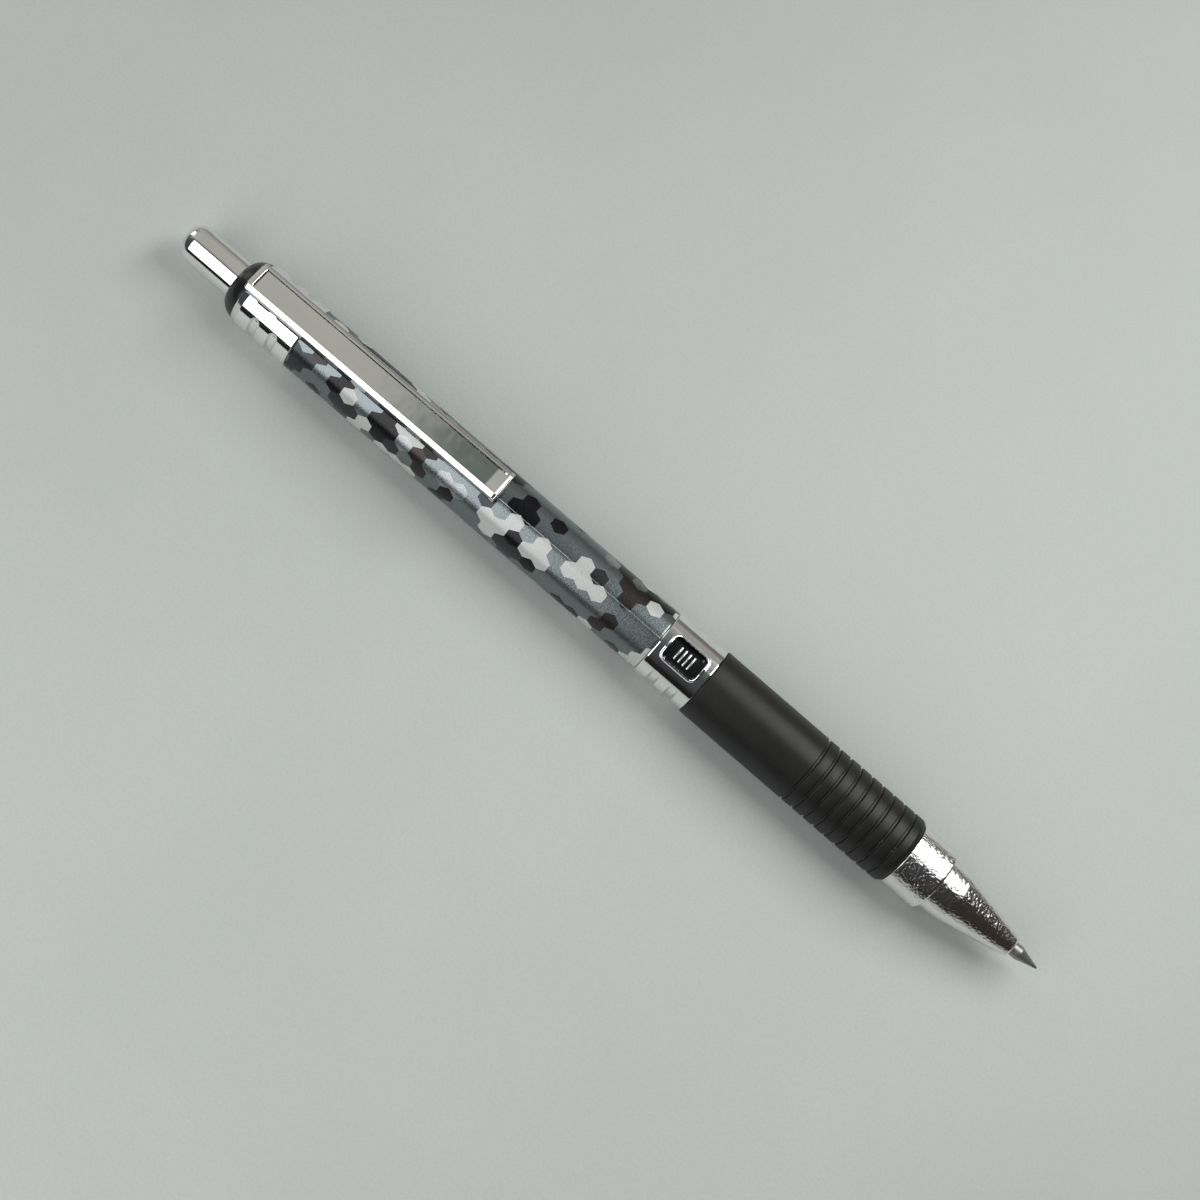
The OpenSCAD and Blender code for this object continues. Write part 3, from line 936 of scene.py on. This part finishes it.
def pocket_clip():
    """One lofted bar: a channel with a sunk top, a lip at its tip, and a web, foot and boss below."""
    low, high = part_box("pocket_clip")
    head = (low.x - TAIL) / MM
    half = (high.y - low.y) / 2 / MM
    length = ((high.x - TAIL) / MM - head) / math.cos(CLIP_RISE)
    top = (high.z - AXIS) / MM - LIP_HEIGHT - length * math.sin(CLIP_RISE)
    band_r = span("upper_band")[2] + 0.2
    web = (0.5, 1.8)
    foot_x, foot_half, foot_height = (1.7, 4.7), 1.4, 4.25
    boss_middle, boss_half, boss_r = length - 5.3, 2.8, 4.2
    tip_wall = length - 0.55
    boss_low = span("barrel_film")[2] + 0.15

    def above_axis(height, x):
        """A height above the holder's axis, as one below the clip's top face."""
        return height - top - x * math.sin(CLIP_RISE)

    def underside(x, y):
        """Height of the lowest face: the web by the band, the foot, the hollow or the boss."""
        over_band = above_axis(math.sqrt(band_r ** 2 - y * y), x)
        if x < web[0]:
            return max(-CLIP_HEIGHT, over_band)
        if x < web[1]:
            level = over_band if y < half - 0.14 else -CLIP_HEIGHT
        else:
            hollow = y < CLIP_HOLLOW and x < tip_wall
            level = -CLIP_ROOF if hollow else -CLIP_HEIGHT
        if foot_x[0] < x < foot_x[1] and y < foot_half:
            level = above_axis(foot_height, x)
        if abs(x - boss_middle) < boss_half and y < CLIP_HOLLOW:
            arch = boss_low + boss_r - math.sqrt(boss_r ** 2 - (x - boss_middle) ** 2)
            level = min(level, above_axis(arch, x))
        return level

    def corner(distance, size):
        """How far an edge of that rounding has drawn in, at a distance from the end."""
        d = min(size, distance)
        return size - math.sqrt(size * size - (size - d) ** 2)

    # across and down the rim: a narrow crest, a broad bevel and a small outer corner
    shoulder = [(half - CLIP_RIM + 0.05, 0.0)]
    for radius, start, end in ((0.1, 0, 17), (1.6, 17, 40), (0.12, 40, 90)):
        y, z = shoulder[-1]
        for k in range(1, 6):
            a = math.radians(start + (end - start) * k / 5)
            across = radius * (math.sin(a) - math.sin(math.radians(start)))
            down = radius * (math.cos(math.radians(start)) - math.cos(a))
            shoulder.append((y + across, z - down))

    def half_section(x):
        """(across, height) points from the middle of the top, out and round to the underside."""
        end = length - x
        wide = half - corner(x, 0.3) - corner(end, 0.16)
        lip = LIP_HEIGHT * ease(x, length - LIP_LENGTH - 0.15, length - 0.08)
        crest = lip - corner(x, 0.16) - corner(end, 0.07)
        slope = min(1.0, max(0.0, (x - (length - LIP_LENGTH - 1.9)) / 1.75))
        sunk = CLIP_RECESS * ease(x, CLIP_RIM, CLIP_RIM + 0.3) * (1 - slope * slope)
        floor = crest * slope - sunk
        inside = half - CLIP_RIM
        made = [(0.0, floor), (inside - 0.9, floor), (inside - 0.4, floor)]
        # the recess's side slopes up to the rim
        made += [(inside - 0.12, floor), (inside, crest)]
        made += [(y + wide - half, crest + z) for y, z in shoulder]
        made += [(wide, -1.1), (wide, 0.08 - CLIP_HEIGHT), (wide - 0.03, 0.02 - CLIP_HEIGHT)]
        made.append((wide - 0.09, -CLIP_HEIGHT))
        squeeze = wide / half
        for y in (half - 0.145, 1.75, 1.7, 1.68, 1.6, 1.42, 1.38, 1.0, 0.5, 0.0):
            made.append((y * squeeze, underside(x, y)))
        return made

    # sections close together at each step of the underside, and wherever the top bends
    steps = [*web, *foot_x, tip_wall, boss_middle - boss_half, boss_middle + boss_half]
    along = lines(
        [0, 0.015, 0.04, 0.08, 0.13, 0.2, 0.3, 0.4, 0.47, 0.53, 0.6, 0.68, 0.76],
        [s + side * 0.01 for s in steps for side in (-1, 1)],
        spread(1, length - 3.2, 0.8),
        spread(boss_middle - boss_half, boss_middle + boss_half, 0.2),
        spread(length - 3.0, length - 0.2, 0.07),
        [length - d for d in (0, 0.01, 0.03, 0.05, 0.07, 0.11, 0.16)],
    )
    points, faces = [], []
    for x in along:
        right = half_section(x)
        left = [(-y, z) for y, z in reversed(right[1:-1])]
        for y, z in right + left:
            points.append(
                (
                    head + x * math.cos(CLIP_RISE) - z * math.sin(CLIP_RISE),
                    y,
                    top + x * math.sin(CLIP_RISE) + z * math.cos(CLIP_RISE),
                )
            )
    count = len(points) // len(along)
    for i in range(len(along) - 1):
        for k in range(count):
            a, b = i * count + k, i * count + (k + 1) % count
            faces.append((a, b, b + count, a + count))
    faces.append(tuple(range(count)))
    faces.append(tuple(range(len(points) - count, len(points))))
    finished("pocket_clip", points, faces)


# ---------------------------------------------------------------- return spring

SPRING_TURNS = 6.5


def return_spring():
    """A smooth coil with closed end turns, made at rest with a mesh of its own; nothing here shortens it as
    the button is pressed.
    """
    first, last, outer = span("return_spring")
    wire = 0.22
    mean = outer - wire
    per_turn, sides = 40, 12
    count = int(SPRING_TURNS * per_turn)
    points, faces = [], []
    for i in range(count + 1):
        t = i / count
        turn = math.tau * SPRING_TURNS * t
        # the wire moves along little over the closed turns at both ends
        closed = 0.5 * (ease(t, 0.08, 0.35) + ease(t, 0.65, 0.92))
        share = 0.35 * t + 0.65 * closed
        x = first + wire + (last - first - 2 * wire) * share
        for k in range(sides):
            a = math.tau * k / sides
            points.append(polar(x + wire * math.sin(a), turn, mean + wire * math.cos(a)))
    for i in range(count):
        for k in range(sides):
            a, b = i * sides + k, i * sides + (k + 1) % sides
            faces.append((a, b, b + sides, a + sides))
    faces.append(tuple(range(sides)))
    faces.append(tuple(range(len(points) - sides, len(points))))
    made = finished("return_spring", points, faces)
    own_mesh(made)


push_button()
end_plug()
upper_band()
pocket_clip()
barrel_film()
grade_drum()
grade_marks()
grade_band()
grip_sleeve()
nose_sleeve()
nose_cone()
lead()
return_spring()

for name, node in frame["nodes"].items():
    node.data.materials.clear()
    node.data.materials.append(finish_of(name))


# ---------------------------------------------------------------- floor, light and camera


def table_top():
    """A plain pale floor at the height the holder lies on."""
    finish = Finish("floor", Specular_IOR_Level=0.3)
    clouds = finish.noise(0.02, 3.0)
    shade = finish.ramp(clouds, [(0.3, (0.565, 0.600, 0.578, 1)), (0.7, (0.605, 0.640, 0.618, 1))])[0]
    specks = finish.range(finish.noise(2.6, 2.0), 0.35, 0.65, 0.0, 0.16)
    finish.set("Base Color", finish.mix(specks, shade, (0.40, 0.44, 0.43, 1)))
    finish.set("Roughness", finish.range(clouds, 0.3, 0.7, 0.55, 0.65))
    finish.set("Normal", finish.bump(finish.noise(1.6, 3.0), 0.03))
    half = 1.5
    mesh = bpy.data.meshes.new("floor")
    corners = [(-half, -half), (half, -half), (half, half), (-half, half)]
    floor_z = CAD_BOX[0][2]
    mesh.from_pydata([(x, y, floor_z) for x, y in corners], [], [(0, 1, 2, 3)])
    mesh.materials.append(finish.material)
    floor = bpy.data.objects.new("floor", mesh)
    bpy.context.scene.collection.objects.link(floor)


CENTRE = Vector((0, 0, AXIS))


def lamp(name, along, lean, distance, length, height, watts):
    """A soft lamp facing the axis, in metres: lean is its angle from straight up towards +Y."""
    light = bpy.data.lights.new(name, "AREA")
    light.shape = "RECTANGLE"
    light.size, light.size_y = length, height
    light.energy = watts
    made = bpy.data.objects.new(name, light)
    a = math.radians(lean)
    toward = Vector((0, math.sin(a), math.cos(a)))
    side = Vector((1, 0, 0))
    spot = CENTRE + Vector((along, 0, 0)) + toward * distance
    facing = Matrix((side, toward.cross(side), toward)).transposed().to_4x4()
    made.matrix_world = Matrix.Translation(spot) @ facing
    bpy.context.scene.collection.objects.link(made)


ROOM = [
    # lean of the direction from straight up towards +Y in degrees, and the room's colour there
    (-90, (0.012, 0.010, 0.010, 1)),
    (-76, (0.014, 0.012, 0.012, 1)),
    (-68, (0.030, 0.031, 0.034, 1)),
    (-50, (0.055, 0.060, 0.066, 1)),
    (-20, (0.060, 0.066, 0.072, 1)),
    (5, (0.110, 0.135, 0.125, 1)),
    (22, (0.130, 0.150, 0.140, 1)),
    (33, (0.270, 0.262, 0.250, 1)),
    (44, (0.300, 0.290, 0.275, 1)),
    (50, (0.480, 0.470, 0.450, 1)),
    (56, (0.310, 0.295, 0.280, 1)),
    (68, (0.360, 0.340, 0.320, 1)),
    (80, (0.160, 0.155, 0.150, 1)),
    (90, (0.200, 0.195, 0.190, 1)),
]


PALE_OVER_TAIL = (0.42, 0.415, 0.38, 1)
WINDOW_PAST_TAIL = (1.3, 1.3, 1.28, 1)
DARK_PAST_NOSE = (0.030, 0.021, 0.017, 1)


def room():
    """A dim room: dark on one side and past the nose, paler on the other side and over the tail."""
    world = bpy.data.worlds.new("room")
    world.use_nodes = True
    coords = world.node_tree.nodes.new("ShaderNodeTexCoord")
    graph = Graph(world.node_tree, coords.outputs["Generated"])
    x, y, z = graph.split(graph.mm)
    lean = graph.math("MULTIPLY_ADD", graph.math("ARCSINE", y), 1 / math.pi, 0.5)
    shade = graph.ramp(lean, [(angle / 180 + 0.5, color) for angle, color in ROOM])[0]
    over_tail = graph.range(x, -0.18, -0.13, 1.0, 0.0)
    near_side = graph.range(lean, 0.45, 0.52, 0.0, 1.0)
    overhead = graph.math("MULTIPLY", near_side, graph.range(z, 0.3, 0.6, 0.0, 1.0))
    shade = graph.mix(graph.math("MULTIPLY", over_tail, overhead), shade, PALE_OVER_TAIL)
    # a small bright window low past the tail, which the clip's raised lip mirrors
    window = graph.range(x, -0.80, -0.68, 1.0, 0.0)
    window = graph.math("MULTIPLY", window, graph.range(y, 0.10, 0.16, 0.0, 1.0))
    window = graph.math("MULTIPLY", window, graph.range(y, 0.44, 0.50, 1.0, 0.0))
    window = graph.math("MULTIPLY", window, graph.range(z, 0.02, 0.10, 0.0, 1.0))
    shade = graph.mix(window, shade, WINDOW_PAST_TAIL)
    past_nose = graph.range(x, 0.14, 0.34, 0.0, 0.88)
    shade = graph.mix(past_nose, shade, DARK_PAST_NOSE)
    background = next(n for n in world.node_tree.nodes if n.type == "BACKGROUND")
    graph.put(shade, background.inputs["Color"])
    bpy.context.scene.world = world


# The camera looks down from 17 degrees off the clip's side, with the writing end to the lower right
VIEW_LEAN = math.radians(17)
VIEW_ROLL = math.radians(40.8)
VIEW_DISTANCE = 0.267
VIEW_WIDTH = 0.1581
SENSOR_MM = 36
# How far the holder's middle lies right of and above the middle of the view
HOLDER_ASIDE = (0.00158, -0.00026)


def camera():
    """Looks at the holder from above, near enough for a little perspective."""
    data = bpy.data.cameras.new("camera")
    data.sensor_width = SENSOR_MM
    data.lens = SENSOR_MM * VIEW_DISTANCE / VIEW_WIDTH
    made = bpy.data.objects.new("camera", data)
    back = Vector((0, -math.sin(VIEW_LEAN), math.cos(VIEW_LEAN)))
    along = Vector((1, 0, 0))
    across = back.cross(along)
    right = along * math.cos(VIEW_ROLL) + across * math.sin(VIEW_ROLL)
    up = across * math.cos(VIEW_ROLL) - along * math.sin(VIEW_ROLL)
    spot = CENTRE + back * VIEW_DISTANCE - right * HOLDER_ASIDE[0] - up * HOLDER_ASIDE[1]
    made.matrix_world = Matrix.Translation(spot) @ Matrix((right, up, back)).transposed().to_4x4()
    bpy.context.scene.collection.objects.link(made)
    bpy.context.scene.camera = made


table_top()
lamp("lamp_tail", along=-0.108, lean=-41.5, distance=0.3, length=0.177, height=0.34, watts=0.56)
lamp("lamp_nose", along=0.1044, lean=31, distance=0.3, length=0.1178, height=0.2425, watts=0.57)
room()
camera()
bpy.context.scene.view_settings.view_transform = "Standard"
